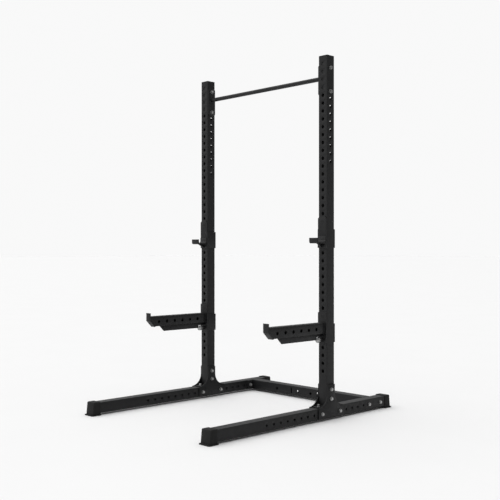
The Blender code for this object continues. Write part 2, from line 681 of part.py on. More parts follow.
def lock_pin(side, parent):
    """Spring-loaded pin with a pull knob, drawn back, that slides into an upright's hole."""
    name = "arm_lock_pin_" + side
    knob_back = KNOB_FRONT + KNOB_LENGTH
    nose = -BRACKET_PLAY - 0.002
    profile = [(0.0, nose), (LOCK_RADIUS - 0.002, nose), (LOCK_RADIUS, nose - 0.002),
               (LOCK_RADIUS, knob_back), (KNOB_RADIUS - 0.002, knob_back),
               (KNOB_RADIUS, knob_back - 0.002), (KNOB_RADIUS, KNOB_FRONT + 0.002),
               (KNOB_RADIUS - 0.002, KNOB_FRONT), (0.0, KNOB_FRONT)]
    piece = add_turned(name, turned(name, profile, 12), ZINC, (0, 0, -LOCK_DROP),
                       (-math.pi / 2, 0, 0))
    piece.parent = parent


# ---------------------------------------------------------------- the rack
def build():
    """Make every piece."""
    for side, sign in SIDES.items():
        base_leg(side, sign)
        upright(side, sign)
        top_cap(side, sign)
        shoe(side, sign, "front", -1)
        shoe(side, sign, "rear", 1)
        gusset(side, sign, "outer", sign)
        gusset(side, sign, "inner", -sign)
        fasteners(side, sign)
        j_cup(side, sign)
        spotter_arm(side, sign)
    crossmember()
    pull_up_bar()


build()
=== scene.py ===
"""Visual model of a half rack with a pull-up bar, two J-cups and two spotter arms."""
import json
import math

import bmesh
import bpy
from mathutils import Matrix, Vector


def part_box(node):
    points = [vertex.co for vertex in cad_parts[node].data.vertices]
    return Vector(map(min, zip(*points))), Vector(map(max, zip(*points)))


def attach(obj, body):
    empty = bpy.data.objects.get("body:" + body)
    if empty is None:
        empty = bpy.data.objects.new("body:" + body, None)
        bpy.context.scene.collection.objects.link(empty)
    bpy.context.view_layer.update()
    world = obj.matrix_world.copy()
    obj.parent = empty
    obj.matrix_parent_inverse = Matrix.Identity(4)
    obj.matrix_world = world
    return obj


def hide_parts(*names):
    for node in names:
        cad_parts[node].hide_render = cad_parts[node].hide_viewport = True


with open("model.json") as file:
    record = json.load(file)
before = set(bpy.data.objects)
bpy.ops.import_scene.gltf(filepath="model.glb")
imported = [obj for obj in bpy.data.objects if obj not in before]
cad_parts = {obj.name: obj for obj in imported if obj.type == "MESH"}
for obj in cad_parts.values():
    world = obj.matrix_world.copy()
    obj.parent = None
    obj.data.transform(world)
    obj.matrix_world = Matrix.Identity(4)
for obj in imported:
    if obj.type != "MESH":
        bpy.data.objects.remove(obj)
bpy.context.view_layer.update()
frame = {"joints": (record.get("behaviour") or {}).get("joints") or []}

# ---------------------------------------------------------------- places taken from the frame
SIDES = {"left": -1, "right": 1}
MAIN = "frame"
JOINTS = {joint["name"]: joint for joint in frame["joints"]}
LEG_LOW, LEG_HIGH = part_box("base_leg_right")
UP_LOW, UP_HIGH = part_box("upright_right")
CAP_LOW, CAP_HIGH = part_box("top_cap_right")
CROSS_LOW, CROSS_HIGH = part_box("rear_crossmember")

TUBE = LEG_HIGH.z - LEG_LOW.z
HALF = TUBE / 2
WALL = 0.003
CORNER = 0.0036
UPRIGHT_X = (CAP_LOW.x + CAP_HIGH.x) / 2
UPRIGHT_Y = (CAP_LOW.y + CAP_HIGH.y) / 2
TOP = UP_HIGH.z
FOOT = UP_LOW.z
LEG_AXIS = (LEG_LOW.z + LEG_HIGH.z) / 2
LEG_TOP = LEG_HIGH.z
CROSS_Y = (CROSS_LOW.y + CROSS_HIGH.y) / 2
GAP = 0.0003
PLATE = 0.006

# ---------------------------------------------------------------- sizes of the detail
# Metres.  Places along the crossmember count from its middle, leg holes from the upright, and
# the brackets' and arms' places from their front pin.
PITCH = 0.050
FRONT_HOLES = 40
SIDE_HOLES = 9
BACKED_HOLES = 4
FIRST_SIDE_DROP = 5 * PITCH + 0.021
FRONT_HOLE_RADIUS = 0.0110
SIDE_HOLE_RADIUS = 0.0094
LEG_HOLE_RADIUS = 0.0075
LEG_HOLE_PITCH = 0.060
LEG_HOLE_START = 0.155
FRONT_LEG_HOLES = 8
REAR_LEG_HOLES = 4
LIP = 0.0007
PLATE_EDGE = 0.0009
WELD_RADIUS = 0.0024
WELD_STEP = 0.0022
WELD_RIPPLE = 0.16
TAB_REACH = 0.066
TAB_INSET = 0.005
TAB_ROUND = 0.010
GUSSET_BOLT_HEIGHTS = (0.052, 0.111)
GUSSET_LEG_BOLT = 0.086
BAR_BOLT_DROPS = (1.5 * PITCH, 4.5 * PITCH)
BAR_DROP = 0.136
BAR_RADIUS = 0.014
CROSS_BOLT = 0.060
CROSS_HOLES = (0.062, 0.2725)
CROSS_HOLE_RADIUS = 0.010
CROSS_SLOT = 0.127
CROSS_SLOT_SIZE = (0.012, 0.040)
BAR_PLATE_SIZE = (0.066, 0.204, 0.014)
GUSSET_FLARE = 0.085
GUSSET_TOP_HALF = 0.0345
GUSSET_RISE = 0.144
GUSSET_PLAY = 0.004
WASHER_RADIUS = 0.0122
WASHER_BORE = 0.0062
WASHER_DEPTH = 0.0020
HEX_ACROSS = 0.0190
HEAD_DEPTH = 0.0070
NUT_DEPTH = 0.0092
NUT_BORE = 0.0059
SHANK_RADIUS = 0.0058
THREAD_PITCH = 0.0014
BOLT_TURN = 0.61
BRACKET_PLAY = 0.001
PLATE_PLAY = BRACKET_PLAY + PLATE
BRACKET_BOTTOM = -0.168
WRAP_TOP = -0.050
WRAP_BEND = 0.0085
PIN_RADIUS = 0.0088
PIN_LENGTH = 0.028
J_CUP_PLATE_TOP = 0.0325
J_CUP_PLATE_CUT = 0.014
ARM_PLATE_TOP = 0.024
ARM_PLATE_CUT = 0.003
HALF_SLANT = math.tan(math.radians(22.5))
ARM_WIDTH = 0.045
ARM_TOP = -0.047
ARM_BOTTOM = -0.111
ARM_END = -0.5078
ARM_CUT = 0.0413
ARM_HOLES = 6
ARM_FIRST_HOLE = 0.086
ARM_HOLE_PITCH = 0.070
ARM_HOLE_RADIUS = 0.011
ARM_SCREWS = (-0.045, -0.160, -0.275, -0.390, -0.475)
TIP_TOP = -0.0178
FIN_LOW = -0.1492
FIN_STEP = -0.130
FIN_FRONT = -0.416
FIN_REAR = -0.062
FIN_HALF = 0.005
LOCK_DROP = -3 * PITCH
LOCK_BORE = 0.0086

# ---------------------------------------------------------------- light and view
LEVEL_LOW, LEVEL_HIGH = 0.50, 2.22
LEVEL_LEFT, LEVEL_RIGHT = 1.6, 0.4
BACKDROP = 0.945
FLOOR_SIZE = 120.0
LENS = 59.77
CAMERA_PLACE = (4.0312, -3.8297, 1.0773)
CAMERA_TURN = 45.90


# ---------------------------------------------------------------- node materials
class Nodes:
    """Short way to build a node tree."""

    def __init__(self, tree):
        self.tree = tree
        self.column = 0

    def add(self, kind, inputs=None, **settings):
        """Add a node, set its properties, and set or link its inputs."""
        node = self.tree.nodes.new("ShaderNode" + kind)
        self.column += 1
        node.location = (self.column * 180 - 2000, 0)
        for key, value in settings.items():
            setattr(node, key, value)
        for key, value in (inputs or {}).items():
            if isinstance(value, bpy.types.NodeSocket):
                self.tree.links.new(value, node.inputs[key])
            else:
                node.inputs[key].default_value = value
        return node

    def noise(self, vector, scale, detail=3.0, roughness=0.5):
        """Noise value over object coordinates."""
        return self.add("TexNoise", {"Vector": vector, "Scale": scale, "Detail": detail,
                                     "Roughness": roughness}).outputs["Fac"]

    def spread(self, value, low, high, to_low, to_high):
        """Map a value's range onto another."""
        return self.add("MapRange", {"Value": value, "From Min": low, "From Max": high,
                                     "To Min": to_low, "To Max": to_high}).outputs["Result"]

    def math(self, operation, first, second=0.0):
        """One arithmetic step."""
        return self.add("Math", {0: first, 1: second}, operation=operation).outputs[0]

    def blend(self, factor, first, second):
        """Mix two colours."""
        node = self.add("Mix", data_type="RGBA")
        for key, value in ((0, factor), (6, first), (7, second)):
            if isinstance(value, bpy.types.NodeSocket):
                self.tree.links.new(value, node.inputs[key])
            else:
                node.inputs[key].default_value = value
        return node.outputs[2]


def new_material(name, **uniform):
    """Principled material with its uniform numbers set straight on the shader."""
    result = bpy.data.materials.new(name)
    result.use_nodes = True
    shader = result.node_tree.nodes["Principled BSDF"]
    for key, value in uniform.items():
        shader.inputs[key.replace("_", " ")].default_value = value
    nodes = Nodes(result.node_tree)
    place = nodes.add("TexCoord").outputs["Object"]
    return result, shader, nodes, place


def link(nodes, shader, **outputs):
    """Link node outputs to the shader's sockets."""
    for key, value in outputs.items():
        nodes.tree.links.new(value, shader.inputs[key.replace("_", " ")])


def link_surface(nodes, shader, tone, rough, height, strength, distance):
    """Link a colour, a roughness and a bump."""
    bump = nodes.add("Bump", {"Height": height, "Strength": strength, "Distance": distance})
    link(nodes, shader, Base_Color=tone, Roughness=rough, Normal=bump.outputs["Normal"])


def edge_mask(nodes, radius):
    """1 on convex and concave edges, 0 on flat faces."""
    soft = nodes.add("Bevel", {"Radius": radius}, samples=4).outputs[0]
    plain = nodes.add("NewGeometry").outputs["Normal"]
    same = nodes.add("VectorMath", {0: soft, 1: plain}, operation="DOT_PRODUCT").outputs["Value"]
    return nodes.spread(same, 0.995, 0.80, 0.0, 1.0)


def powder_coat():
    """Fine-textured black powder coat, polished a little along its edges and painted lighter
    there, partly as wear and partly as a painted highlight.
    """
    made, shader, nodes, place = new_material("powder_coat", Metallic=0.0,
                                              Specular_IOR_Level=0.30)
    broad = nodes.noise(place, 6.0, 4.0)
    grain = nodes.noise(place, 1400.0, 2.0, 0.6)
    peel = nodes.noise(place, 320.0, 2.0)
    edge = nodes.math("MULTIPLY", edge_mask(nodes, 0.0016), nodes.noise(place, 60.0, 4.0))
    tone = nodes.blend(broad, (0.0040, 0.0041, 0.0045, 1), (0.0062, 0.0063, 0.0068, 1))
    speck = nodes.spread(grain, 0.62, 0.80, 0.0, 0.30)
    tone = nodes.blend(speck, tone, (0.016, 0.016, 0.017, 1))
    # Lighter grey along the edges: partly edge wear, partly a painted highlight.
    tone = nodes.blend(nodes.spread(edge, 0.1, 0.9, 0.0, 0.8), tone, (0.034, 0.034, 0.036, 1))
    rough = nodes.spread(nodes.noise(place, 35.0, 3.0), 0.3, 0.7, 0.44, 0.56)
    rough = nodes.math("SUBTRACT", rough, nodes.math("MULTIPLY", edge, 0.14))
    height = nodes.math("ADD", nodes.math("MULTIPLY", grain, 0.5), peel)
    link_surface(nodes, shader, tone, rough, height, 0.16, 0.0004)
    return made


def plated_steel(name, dark, light, stain):
    """Plated steel with a faint mottle and stain."""
    made, shader, nodes, place = new_material(name, Metallic=1.0)
    mottle = nodes.noise(place, 160.0, 5.0, 0.6)
    tone = nodes.blend(mottle, dark, light)
    tone = nodes.blend(nodes.spread(nodes.noise(place, 45.0), 0.5, 0.8, 0.0, 0.35), tone, stain)
    rough = nodes.spread(nodes.noise(place, 420.0, 3.0), 0.3, 0.7, 0.24, 0.44)
    fine = nodes.noise(place, 900.0, 2.0)
    link_surface(nodes, shader, tone, rough, fine, 0.12, 0.0002)
    return made


def rubber():
    """Moulded rubber, dull, with a dusty bloom."""
    made, shader, nodes, place = new_material("rubber", Metallic=0.0, Specular_IOR_Level=0.26)
    bloom = nodes.noise(place, 28.0, 6.0, 0.62)
    tone = nodes.blend(nodes.spread(bloom, 0.35, 0.75, 0.0, 1.0), (0.0050, 0.0050, 0.0050, 1),
                       (0.0120, 0.0119, 0.0116, 1))
    rough = nodes.spread(bloom, 0.3, 0.7, 0.66, 0.84)
    pores = nodes.noise(place, 700.0, 3.0, 0.7)
    link_surface(nodes, shader, tone, rough, pores, 0.22, 0.0004)
    return made


def cap_plastic():
    """Grained black plastic."""
    made, shader, nodes, place = new_material("cap_plastic", Metallic=0.0)
    cells = nodes.add("TexVoronoi", {"Vector": place, "Scale": 900.0}).outputs["Distance"]
    tone = nodes.blend(nodes.noise(place, 30.0), (0.0060, 0.0060, 0.0064, 1),
                       (0.0105, 0.0105, 0.0110, 1))
    rough = nodes.spread(nodes.noise(place, 90.0, 3.0), 0.3, 0.7, 0.46, 0.60)
    link_surface(nodes, shader, tone, rough, cells, 0.18, 0.0003)
    return made


def liner_plastic():
    """Waxy wear plastic with sawn grain along its length."""
    made, shader, nodes, place = new_material("liner_plastic", Metallic=0.0)
    stretched = nodes.add("Mapping", {"Vector": place, "Scale": (700.0, 12.0, 700.0)})
    grain = nodes.noise(stretched.outputs["Vector"], 1.0, 3.0)
    scuff = nodes.noise(place, 70.0, 6.0, 0.65)
    tone = nodes.blend(nodes.spread(scuff, 0.45, 0.8, 0.0, 0.6), (0.0040, 0.0040, 0.0043, 1),
                       (0.0090, 0.0090, 0.0093, 1))
    rough = nodes.spread(scuff, 0.3, 0.7, 0.52, 0.66)
    link_surface(nodes, shader, tone, rough, grain, 0.15, 0.0003)
    return made


BLACK = powder_coat()
ZINC = plated_steel("zinc", (0.26, 0.265, 0.27, 1), (0.44, 0.44, 0.43, 1), (0.33, 0.31, 0.26, 1))
RUBBER = rubber()
CAP = cap_plastic()
LINER = liner_plastic()


# ---------------------------------------------------------------- object helpers
def to_object(name, shape, place=None):
    """Turn a bmesh into a linked object, with its faces facing out."""
    bmesh.ops.remove_doubles(shape, verts=shape.verts, dist=1e-6)
    bmesh.ops.recalc_face_normals(shape, faces=shape.faces)
    mesh = bpy.data.meshes.new(name)
    shape.to_mesh(mesh)
    shape.free()
    made = bpy.data.objects.new(name, mesh)
    bpy.context.scene.collection.objects.link(made)
    if place is not None:
        mesh.transform(place)
        if place.determinant() < 0:
            mesh.flip_normals()
    return made


def apply_modifiers(made):
    """Keep the modifiers' result as the object's own mesh."""
    bpy.context.view_layer.update()
    graph = bpy.context.evaluated_depsgraph_get()
    mesh = bpy.data.meshes.new_from_object(made.evaluated_get(graph))
    mesh.name = made.name
    old = made.data
    made.modifiers.clear()
    made.data = mesh
    bpy.data.meshes.remove(old)


def combine(made, others, operation):
    """Join other bodies to this one or cut them out, and remove them."""
    for other in others:
        boolean = made.modifiers.new(operation, "BOOLEAN")
        boolean.operation = operation
        boolean.solver = "EXACT"
        boolean.object = other
        apply_modifiers(made)
        mesh = other.data
        bpy.data.objects.remove(other)
        bpy.data.meshes.remove(mesh)
    return made


def soften(made, width, segments=2, angle=28):
    """Round the edges sharper than an angle."""
    bevel = made.modifiers.new("edges", "BEVEL")
    bevel.width = width
    bevel.segments = segments
    bevel.limit_method = "ANGLE"
    bevel.angle_limit = math.radians(angle)
    bevel.use_clamp_overlap = True
    apply_modifiers(made)
    return made


def shade(made, angle=32):
    """Smooth shading, with the edges above an angle kept sharp."""
    shape = bmesh.new()
    shape.from_mesh(made.data)
    for face in shape.faces:
        face.smooth = True
    for edge in shape.edges:
        bent = len(edge.link_faces) == 2 and edge.calc_face_angle(0.0) > math.radians(angle)
        edge.smooth = not bent
    shape.to_mesh(made.data)
    shape.free()


def piece(made, surface, body, *nodes, angle=32):
    """Finish a piece: material, shading, the body it rides on and the nodes it stands for."""
    made.data.materials.clear()
    made.data.materials.append(surface)
    shade(made, angle)
    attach(made, body)
    if nodes:
        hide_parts(*nodes)
    return made


# ---------------------------------------------------------------- shape helpers
def circle(radius, steps, start=0.0):
    """Points of a circle, counter-clockwise."""
    turns = [start + 2 * math.pi * i / steps for i in range(steps)]
    return [(radius * math.cos(a), radius * math.sin(a)) for a in turns]


def arc(centre, radius, start, end, steps):
    """Points of an arc, angles in degrees."""
    angles = [math.radians(start + (end - start) * i / steps) for i in range(steps + 1)]
    return [(centre[0] + radius * math.cos(a), centre[1] + radius * math.sin(a)) for a in angles]


def rounded(width, height, radius, steps):
    """Points of a rectangle with round corners, counter-clockwise."""
    u, v = width / 2 - radius, height / 2 - radius
    points = []
    for (cu, cv), start in (((u, v), 0), ((-u, v), 90), ((-u, -v), 180), ((u, -v), 270)):
        points += arc((cu, cv), radius, start, start + 90, steps)
    return points


def round_hole(radius):
    """Outline of a round hole, as a function of how much it is widened."""
    return lambda grow: circle(radius + grow, 28, math.pi / 28)


def cross_slot(width, length):
    """Outline of a slot with round ends, lying across its wall."""
    return lambda grow: [(v, u) for u, v in reversed(rounded(
        width + 2 * grow, length + 2 * grow, width / 2 + grow - 1e-5, 7))]


PLANES = {
    "XY": Matrix(((1, 0, 0, 0), (0, 1, 0, 0), (0, 0, 1, 0), (0, 0, 0, 1))),
    "XZ": Matrix(((1, 0, 0, 0), (0, 0, 1, 0), (0, 1, 0, 0), (0, 0, 0, 1))),
    "YZ": Matrix(((0, 0, 1, 0), (1, 0, 0, 0), (0, 1, 0, 0), (0, 0, 0, 1))),
}


def sheet(name, outline, thickness, plane, offset, origin=(0, 0, 0)):
    """Plate of an outline drawn in a plane, with its middle at the offset."""
    shape = bmesh.new()
    low = [shape.verts.new((u, v, offset - thickness / 2)) for u, v in outline]
    high = [shape.verts.new((u, v, offset + thickness / 2)) for u, v in outline]
    shape.faces.new(low)
    shape.faces.new(high)
    for i in range(len(outline)):
        j = (i + 1) % len(outline)
        shape.faces.new((low[i], low[j], high[j], high[i]))
    return to_object(name, shape, Matrix.Translation(origin) @ PLANES[plane])


def rod(name, radius, start, end, steps=32):
    """Plain cylinder between two points, for cutting."""
    start, end = Vector(start), Vector(end)
    shape = bmesh.new()
    bmesh.ops.create_cone(shape, cap_ends=True, segments=steps, radius1=radius, radius2=radius,
                          depth=(end - start).length)
    turn = (end - start).to_track_quat("Z", "Y").to_matrix().to_4x4()
    return to_object(name, shape, Matrix.Translation((start + end) / 2) @ turn)


def turned(name, profile, steps, place):
    """Profile of (radius, height) points turned about the local Z axis, closed at both ends."""
    shape = bmesh.new()
    rings = []
    for radius, height in profile:
        if radius < 1e-7:
            rings.append([shape.verts.new((0, 0, height))])
        else:
            rings.append([shape.verts.new((u, v, height)) for u, v in circle(radius, steps)])
    loop = profile[0][0] > 1e-7
    pairs = list(zip(rings, rings[1:])) + ([(rings[-1], rings[0])] if loop else [])
    for a, b in pairs:
        for i in range(steps):
            j = (i + 1) % steps
            face = [a[i % len(a)], a[j % len(a)], b[j % len(b)], b[i % len(b)]]
            shape.faces.new(list(dict.fromkeys(face)))
    return to_object(name, shape, place)


def join_rings(shape, pairs):
    """Four-sided faces between pairs of rings of vertices."""
    for a, b in pairs:
        for i in range(len(a)):
            j = (i + 1) % len(a)
            shape.faces.new((a[i], a[j], b[j], b[i]))


def sweep(name, path, radius, ripple=0.0, closed=True, steps=8):
    """Bead along a path of points, with ripples as a weld has."""
    shape = bmesh.new()
    count = len(path)
    rings = []
    for i, point in enumerate(path):
        before = path[(i - 1) % count] if closed or i else point
        after = path[(i + 1) % count] if closed or i < count - 1 else point
        forward = (Vector(after) - Vector(before)).normalized()
        turn = forward.to_track_quat("Z", "Y").to_matrix()
        size = radius * (1 + ripple * math.sin(i * 2.1))
        if not closed and i in (0, count - 1):
            size *= 0.35
        rings.append([shape.verts.new(Vector(point) + turn @ Vector((u, v, 0)))
                      for u, v in circle(size, steps)])
    pairs = list(zip(rings, rings[1:]))
    if closed:
        pairs.append((rings[-1], rings[0]))
    join_rings(shape, pairs)
    if not closed:
        shape.faces.new(rings[0])
        shape.faces.new(rings[-1])
    return to_object(name, shape)


def along(points, step=WELD_STEP, closed=True):
    """Evenly spaced points along a polyline."""
    points = [Vector(p) for p in points]
    ends = points[1:] + points[:1] if closed else points[1:]
    result = []
    for start, end in zip(points, ends):
        count = max(1, round((end - start).length / step))
        result += [start.lerp(end, i / count) for i in range(count)]
    if not closed:
        result.append(points[-1])
    return result


def weld(name, body, points, radius=WELD_RADIUS, closed=True):
    """Weld bead along a polyline."""
    bead = sweep(name, along(points, closed=closed), radius, WELD_RIPPLE, closed)
    piece(bead, BLACK, body, angle=60)


# ---------------------------------------------------------------- perforated tubes
def zip_rings(shape, outer, inner, centre):
    """Fill between two rings of vertices round a centre, by their angles."""
    def angle(entry):
        return math.atan2(entry[0][1] - centre[1], entry[0][0] - centre[0]) % (2 * math.pi)
    outer = sorted(outer, key=angle)
    inner = sorted(inner, key=angle)
    i = j = 0
    turn = 2 * math.pi
    while i < len(outer) or j < len(inner):
        here_out = outer[i % len(outer)]
        here_in = inner[j % len(inner)]
        next_out = outer[(i + 1) % len(outer)]
        next_in = inner[(j + 1) % len(inner)]
        out_angle = angle(next_out) + (turn if i + 1 >= len(outer) else 0)
        in_angle = angle(next_in) + (turn if j + 1 >= len(inner) else 0)
        if j >= len(inner) or (i < len(outer) and out_angle <= in_angle):
            corners = (here_out[1], next_out[1], here_in[1])
            i += 1
        else:
            corners = (here_out[1], next_in[1], here_in[1])
            j += 1
        if len(set(corners)) == 3:
            shape.faces.new(corners)


def wall_cells(holes, length, half_cell=0.025):
    """Stretches of one wall (low, high, hole height, outline), with None where it is plain."""
    edges = []
    for z, outline in sorted(holes):
        low = max(0.0, z - half_cell)
        high = min(length, z + half_cell)
        if edges and low < edges[-1][1]:
            low = (edges[-1][2] + z) / 2
            edges[-1][1] = low
        edges.append([low, high, z, outline])
    full = []
    last = 0.0
    for low, high, z, outline in edges:
        if low > last + 1e-6:
            full.append((last, low, None, None))
        full.append((low, high, z, outline))
        last = high
    if last < length - 1e-6:
        full.append((last, length, None, None))
    return full


def tube_corners(shape, width, depth, corner, wall, breaks):
    """Round corners and flat end rings of a tube."""
    def section(shrink):
        u, v = width / 2 - corner, depth / 2 - corner
        corners = (((u, v), 0), ((-u, v), 90), ((-u, -v), 180), ((u, -v), 270))
        return [arc(centre, corner - shrink, start, start + 90, 5) for centre, start in corners]

    outer, inner = section(0.0), section(wall)
    for points in outer + inner:
        for low, high in zip(breaks, breaks[1:]):
            for a, b in zip(points, points[1:]):
                shape.faces.new([shape.verts.new((*p, z)) for p, z in
                                 ((a, low), (b, low), (b, high), (a, high))])
    ring_out = [p for points in outer for p in points]
    ring_in = [p for points in inner for p in points]
    for z in (breaks[0], breaks[-1]):
        for i in range(len(ring_out)):
            j = (i + 1) % len(ring_out)
            shape.faces.new([shape.verts.new((*p, z)) for p in
                             (ring_out[i], ring_out[j], ring_in[j], ring_in[i])])


def perforated_tube(name, width, depth, length, corner, wall, holes, place):
    """Rectangular tube along local Z, with holes (wall number, height, outline) in its walls.

    Walls 0 to 3 face +X, +Y, -X and -Y.  Every hole has a rounded lip on the outer face."""
    shape = bmesh.new()
    cells = [wall_cells([(z, outline) for w, z, outline in holes if w == number], length)
             for number in range(4)]
    breaks = sorted({round(v, 6) for full in cells for cell in full for v in cell[:2]})

    def spot(number, u, z, distance):
        turn = number * math.pi / 2
        n = (math.cos(turn), math.sin(turn))
        return shape.verts.new((n[0] * distance - n[1] * u, n[1] * distance + n[0] * u, z))

    for number, full in enumerate(cells):
        across = depth if number % 2 == 0 else width
        reach = (width if number % 2 == 0 else depth) / 2
        flat = across / 2 - corner
        for low, high, z, outline in full:
            inside = [v for v in breaks if low + 1e-6 < v < high - 1e-6]
            border = [(-flat, low), (flat, low)] + [(flat, v) for v in inside]
            border += [(flat, high), (-flat, high)] + [(-flat, v) for v in reversed(inside)]
            for level in (reach, reach - wall):
                loop = [(p, spot(number, p[0], p[1], level)) for p in border]
                if z is None:
                    shape.faces.new([v for _, v in loop])
                    continue
                grow = LIP if level == reach else 0.0
                ring = [((u, v + z), spot(number, u, v + z, level)) for u, v in outline(grow)]
                zip_rings(shape, loop, ring, (0.0, z))
            if z is None:
                continue
            steps = ((LIP, 0.0), (LIP * 0.3, LIP * 0.3), (0.0, LIP), (0.0, wall))
            rings = [[spot(number, u, v + z, reach - down) for u, v in outline(grow)]
                     for grow, down in steps]
            join_rings(shape, zip(rings, rings[1:]))
    tube_corners(shape, width, depth, corner, wall, breaks)
    bmesh.ops.remove_doubles(shape, verts=shape.verts, dist=2e-6)
    return to_object(name, shape, place)


def at(x, y, z, turn=None):
    """Placing matrix."""
    return Matrix.Translation((x, y, z)) @ (turn or Matrix.Identity(4))


ALONG_Y = Matrix.Rotation(-math.pi / 2, 4, "X")
ALONG_X = Matrix.Rotation(math.pi / 2, 4, "Y")


# ---------------------------------------------------------------- the frame's tubes
def upright(side, sign):
    """Upright tube with its rows of round holes, a plate behind the top ones, and its tab."""
    x = sign * UPRIGHT_X
    length = TOP - FOOT
    holes = []
    for k in range(FRONT_HOLES):
        z = length - (k + 1) * PITCH
        holes += [(wall, z, round_hole(FRONT_HOLE_RADIUS)) for wall in (1, 3)]
    for k in range(SIDE_HOLES):
        z = length - FIRST_SIDE_DROP - k * PITCH
        holes += [(wall, z, round_hole(SIDE_HOLE_RADIUS)) for wall in (0, 2)]
    tube = perforated_tube("upright_tube_" + side, TUBE, TUBE, length, CORNER, WALL, holes,
                           at(x, UPRIGHT_Y, FOOT))
    piece(tube, BLACK, MAIN, "upright_" + side)
    middle = TOP - (BACKED_HOLES + 1) * PITCH / 2
    reach = BACKED_HOLES * PITCH / 2
    ends = rounded(TUBE - 0.020, 2 * reach, 0.004, 4)
    backing = sheet("hole_backing_" + side, ends, WALL, "XZ", -HALF + 1.5 * WALL - 0.0002,
                    (x, UPRIGHT_Y, middle))
    piece(soften(backing, 0.0004), BLACK, MAIN)
    foot_tab(side, x)


def foot_tab(side, x):
    """Tab welded to an upright's foot."""
    half = HALF - TAB_INSET
    front = UPRIGHT_Y - HALF - TAB_REACH
    rear = UPRIGHT_Y - HALF
    turn, low = TAB_ROUND, front + TAB_ROUND
    outline = [(-half, rear), *arc((-half + turn, low), turn, 180, 270, 5),
               *arc((half - turn, low), turn, 270, 360, 5), (half, rear)]
    tab = sheet("foot_tab_" + side, outline, PLATE, "XY", FOOT + GAP + PLATE / 2, (x, 0, 0))
    piece(soften(tab, PLATE_EDGE), BLACK, MAIN)
    height = FOOT + GAP + PLATE
    weld("foot_weld_" + side, MAIN, [(x - half + 0.003, rear, height),
                                     (x + half - 0.003, rear, height)], closed=False)


def base_leg(side, sign):
    """Leg tube with its two rows of side holes."""
    x = sign * UPRIGHT_X
    start = LEG_LOW.y
    length = LEG_HIGH.y - LEG_LOW.y
    places = [UPRIGHT_Y - LEG_HOLE_START - k * LEG_HOLE_PITCH for k in range(FRONT_LEG_HOLES)]
    places += [UPRIGHT_Y + LEG_HOLE_START + k * LEG_HOLE_PITCH for k in range(REAR_LEG_HOLES)]
    holes = [(wall, y - start, round_hole(LEG_HOLE_RADIUS)) for y in places for wall in (0, 2)]
    tube = perforated_tube("leg_tube_" + side, TUBE, TUBE, length, CORNER, WALL, holes,
                           at(x, start, LEG_AXIS, ALONG_Y))
    piece(tube, BLACK, MAIN, "base_leg_" + side)


def end_flange(name, outline, x, *nodes):
    """Flat plate across the rack's X axis."""
    plate = sheet(name, outline, PLATE, "YZ", x)
    piece(soften(plate, PLATE_EDGE), BLACK, MAIN, *nodes)


def crossmember():
    """Rear cross tube, its end flanges and their welds."""
    inner = UPRIGHT_X - HALF - GAP
    start = -inner + PLATE
    holes = []
    for sign in (-1, 1):
        for x in CROSS_HOLES:
            holes += [(wall, sign * x - start, round_hole(CROSS_HOLE_RADIUS)) for wall in (1, 3)]
        holes += [(wall, sign * CROSS_SLOT - start, cross_slot(*CROSS_SLOT_SIZE))
                  for wall in (1, 3)]
    tube = perforated_tube("crossmember_tube", TUBE, TUBE, -2 * start, CORNER, WALL, holes,
                           at(start, CROSS_Y, LEG_AXIS, ALONG_X))
    piece(tube, BLACK, MAIN, "rear_crossmember")
    tall = TUBE - 0.004
    outline = [(CROSS_Y + u, LEG_AXIS + v)
               for u, v in rounded(CROSS_HIGH.y - CROSS_LOW.y, tall, 0.009, 5)]
    for side, sign in SIDES.items():
        end_flange("crossmember_flange_" + side, outline, sign * (inner - PLATE / 2))
        face = sign * (inner - PLATE)
        path = [(face, CROSS_Y + u, LEG_AXIS + v) for u, v in rounded(TUBE, tall, CORNER, 4)]
        weld("crossmember_weld_" + side, MAIN, path)


def pull_up_bar():
    """Round bar with an end plate and a weld at each end."""
    inner = UPRIGHT_X - HALF - GAP
    reach = inner - PLATE / 2
    height = TOP - BAR_DROP
    profile = [(0.0, -reach), (BAR_RADIUS, -reach), (BAR_RADIUS, 0.0), (BAR_RADIUS, reach),
               (0.0, reach)]
    bar = turned("pull_up_bar_rod", profile, 40, at(0, UPRIGHT_Y, height, ALONG_X))
    piece(bar, BLACK, MAIN, "pull_up_bar")
    middle = TOP - sum(BAR_BOLT_DROPS) / 2
    width, tall, cut = BAR_PLATE_SIZE
    u, v = width / 2, tall / 2
    outline = [(-u, -v + cut), (-u + cut, -v), (u - cut, -v), (u, -v + cut), (u, v - cut),
               (u - cut, v), (-u + cut, v), (-u, v - cut)]
    outline = [(UPRIGHT_Y + a, middle + b) for a, b in outline]
    for side, sign in SIDES.items():
        end_flange("bar_plate_" + side, outline, sign * (inner - PLATE / 2))
        face = sign * (inner - PLATE)
        ring = [(face, UPRIGHT_Y + a, height + b) for a, b in circle(BAR_RADIUS + 0.0006, 24)]
        weld("bar_weld_" + side, MAIN, ring, 0.0030)


def gusset(side, sign, face, way):
    """Bell-shaped plate with hollow flanks."""
    top_half = GUSSET_TOP_HALF
    foot = top_half + GUSSET_FLARE
    bottom = LEG_LOW.z + GUSSET_PLAY
    shoulder = LEG_TOP + GUSSET_PLAY + GUSSET_FLARE
    top = LEG_TOP + GUSSET_RISE
    edge = 0.004
    rear = arc((foot, shoulder), GUSSET_FLARE, 180, 270, 20)
    front = [(-y, z) for y, z in reversed(rear)]
    outline = [(-foot, bottom + edge)] + front
    outline += [(-top_half, top - edge), (-top_half + edge, top)]
    outline += [(top_half - edge, top), (top_half, top - edge)] + rear
    outline += [(foot, bottom + edge), (foot - edge, bottom), (-foot + edge, bottom)]
    outline = [(UPRIGHT_Y + a, b) for a, b in outline]
    x = sign * UPRIGHT_X + way * (HALF + GAP + PLATE / 2)
    end_flange("gusset_plate_%s_%s" % (face, side), outline, x, "gusset_%s_%s" % (face, side))


